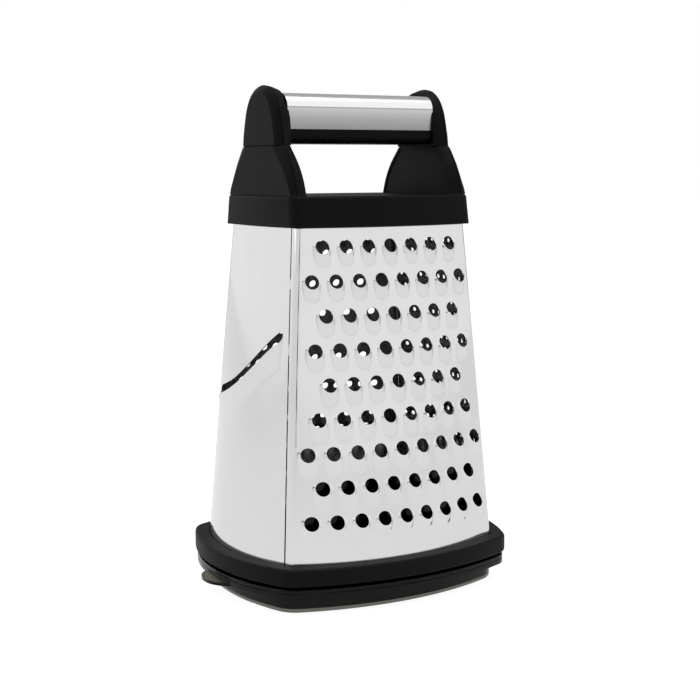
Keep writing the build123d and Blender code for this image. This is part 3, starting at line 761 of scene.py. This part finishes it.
# Outer cover and post of the bell and of the arch; the two are apart by the seam line between them
def hornParts(label, side, p):
    x = p["sideX"]
    for part, cap in (("bell", "bell_cover"), ("arch", "arch_cap")):
        full, face, rim = (hornRib(part + kind, p) for kind in ("Full", "Face", "Rim"))
        tight = hornRib(part + "Full", p, p["edge"])
        cover = [(x["cover"], tight), (x["cover"] + p["edge"], full)]
        for share in np.linspace(0, 1, p["turns"]):
            turn = share * math.pi / 2
            straight = p["chamfer"] * share
            narrow = straight + (1 - p["chamfer"]) * (1 - math.cos(turn))
            lift = straight + (1 - p["chamfer"]) * math.sin(turn)
            cover.append((x["full"] + (x["face"] - x["full"]) * lift, full + (face - full) * narrow))
        hornSkin(label + part.capitalize() + "Cover", label + "_" + cap, side, cover, p)
        lip = hornRib(part + "Rim", p, p["edge"])
        pan = hornRib(part + "Rim", p, p["rimWidth"])
        deep = hornRib(part + "Rim", p, p["rimWidth"] + p["rimSlope"])
        waist = full + (rim - full) * p["waistShare"]
        post = [
            (x["post"], tight), (x["post"] - p["edge"], full), (x["waist"], waist),
            (x["inner"], (full + rim) / 2), (x["rim"] + p["edge"], rim), (x["rim"], lip), (x["rim"], pan),
            (x["pan"], deep),
        ]
        hornSkin(label + "Post" + part.capitalize(), label + "_post", side, post, p)


for label, side in (("left", -1), ("right", 1)):
    hornParts(label, side, horn)


# Studio: pale floor, white surround and two soft lamps. In reflections the surround has soft grey and black
# stripes, each a direction in degrees and a tone
studio = {
    "floor": 0.3, "floorSize": 6.0, "floorRough": 0.9, "glow": 0.7, "white": 0.93, "soft": 0.5,
    "circle": 360.0,
    "stripes": ((0, 1.0), (84, 1.0), (100, 0.4), (160, 0.4), (172, 1.0), (245, 1.0), (262, 0.85),
                (322, 0.85), (331, 0.95), (334.5, 0.95), (336, 0.10), (342.5, 0.07), (344, 0.95),
                (360, 1.0)),
    "target": (0, 0, 0.1),
    "lamps": {
        "topBox": {"place": (0.1, -0.2, 1.6), "size": (1.2, 1.2), "power": 9.0},
        "leftBox": {"place": (-1.5, 0.1, 0.9), "size": (1.0, 1.2), "power": 2.5},
    },
}


def studioFloor(p):
    f = Finish("floorPaper", Base_Color=(p["floor"],) * 3, Specular_IOR_Level=0.0)
    f.feed(Roughness=p["floorRough"])
    seenFirst = f.node("ShaderNodeLightPath", {}, {}, "Is Camera Ray")
    gloss = f.node("ShaderNodeLightPath", {}, {}, "Is Glossy Ray")
    through = f.node("ShaderNodeLightPath", {}, {}, "Is Transmission Ray")
    glow = (gloss.maths("MAXIMUM", through) * p["glow"]).maths("MAXIMUM", seenFirst * p["white"])
    f.feed(Emission_Color=(1.0, 1.0, 1.0), Emission_Strength=glow)
    size = p["floorSize"]
    points = [(-size, -size, 0), (size, -size, 0), (size, size, 0), (-size, size, 0)]
    meshPiece("floor", points, [(0, 1, 2, 3)], f.material)


def studioWorld(p):
    world = bpy.data.worlds.new("studio")
    bpy.context.scene.world = world
    sky = NodeMaker(world)
    direction = sky.node("ShaderNodeTexCoord", {}, {}, "Generated")
    x, y = (sky.node("ShaderNodeSeparateXYZ", {}, {0: direction}, side) for side in ("X", "Y"))
    azimuth = x.maths("ARCTAN2", y * -1) / math.tau
    share = azimuth.maths("WRAP", 1.0, 0.0)
    stops = [(angle / p["circle"], tone) for angle, tone in p["stripes"]]
    tone = sky.node("ShaderNodeValToRGB", {"stops": stops}, {"Fac": share})
    kinds = ("Is Camera Ray", "Is Glossy Ray", "Is Transmission Ray")
    seenFirst, gloss, through = (sky.node("ShaderNodeLightPath", {}, {}, kind) for kind in kinds)
    striped = sky.blend(gloss, (1.0, 1.0, 1.0), tone)
    seen = seenFirst.maths("MAXIMUM", gloss).maths("MAXIMUM", through)
    sky.set(sky.nodes["Background"], {"Color": striped, "Strength": p["soft"] + seen * (1 - p["soft"])})


def softBox(name, own, target):
    data = bpy.data.lights.new(name, "AREA")
    data.shape = "RECTANGLE"
    data.size, data.size_y = own["size"]
    data.energy = own["power"]
    lamp = bpy.data.objects.new(name, data)
    lamp.location = own["place"]
    lamp.rotation_euler = (Vector(target) - lamp.location).to_track_quat("-Z", "Y").to_euler()
    bpy.context.collection.objects.link(lamp)


studioFloor(studio)
studioWorld(studio)
for name, own in studio["lamps"].items():
    softBox(name, own, studio["target"])
print("studio made")
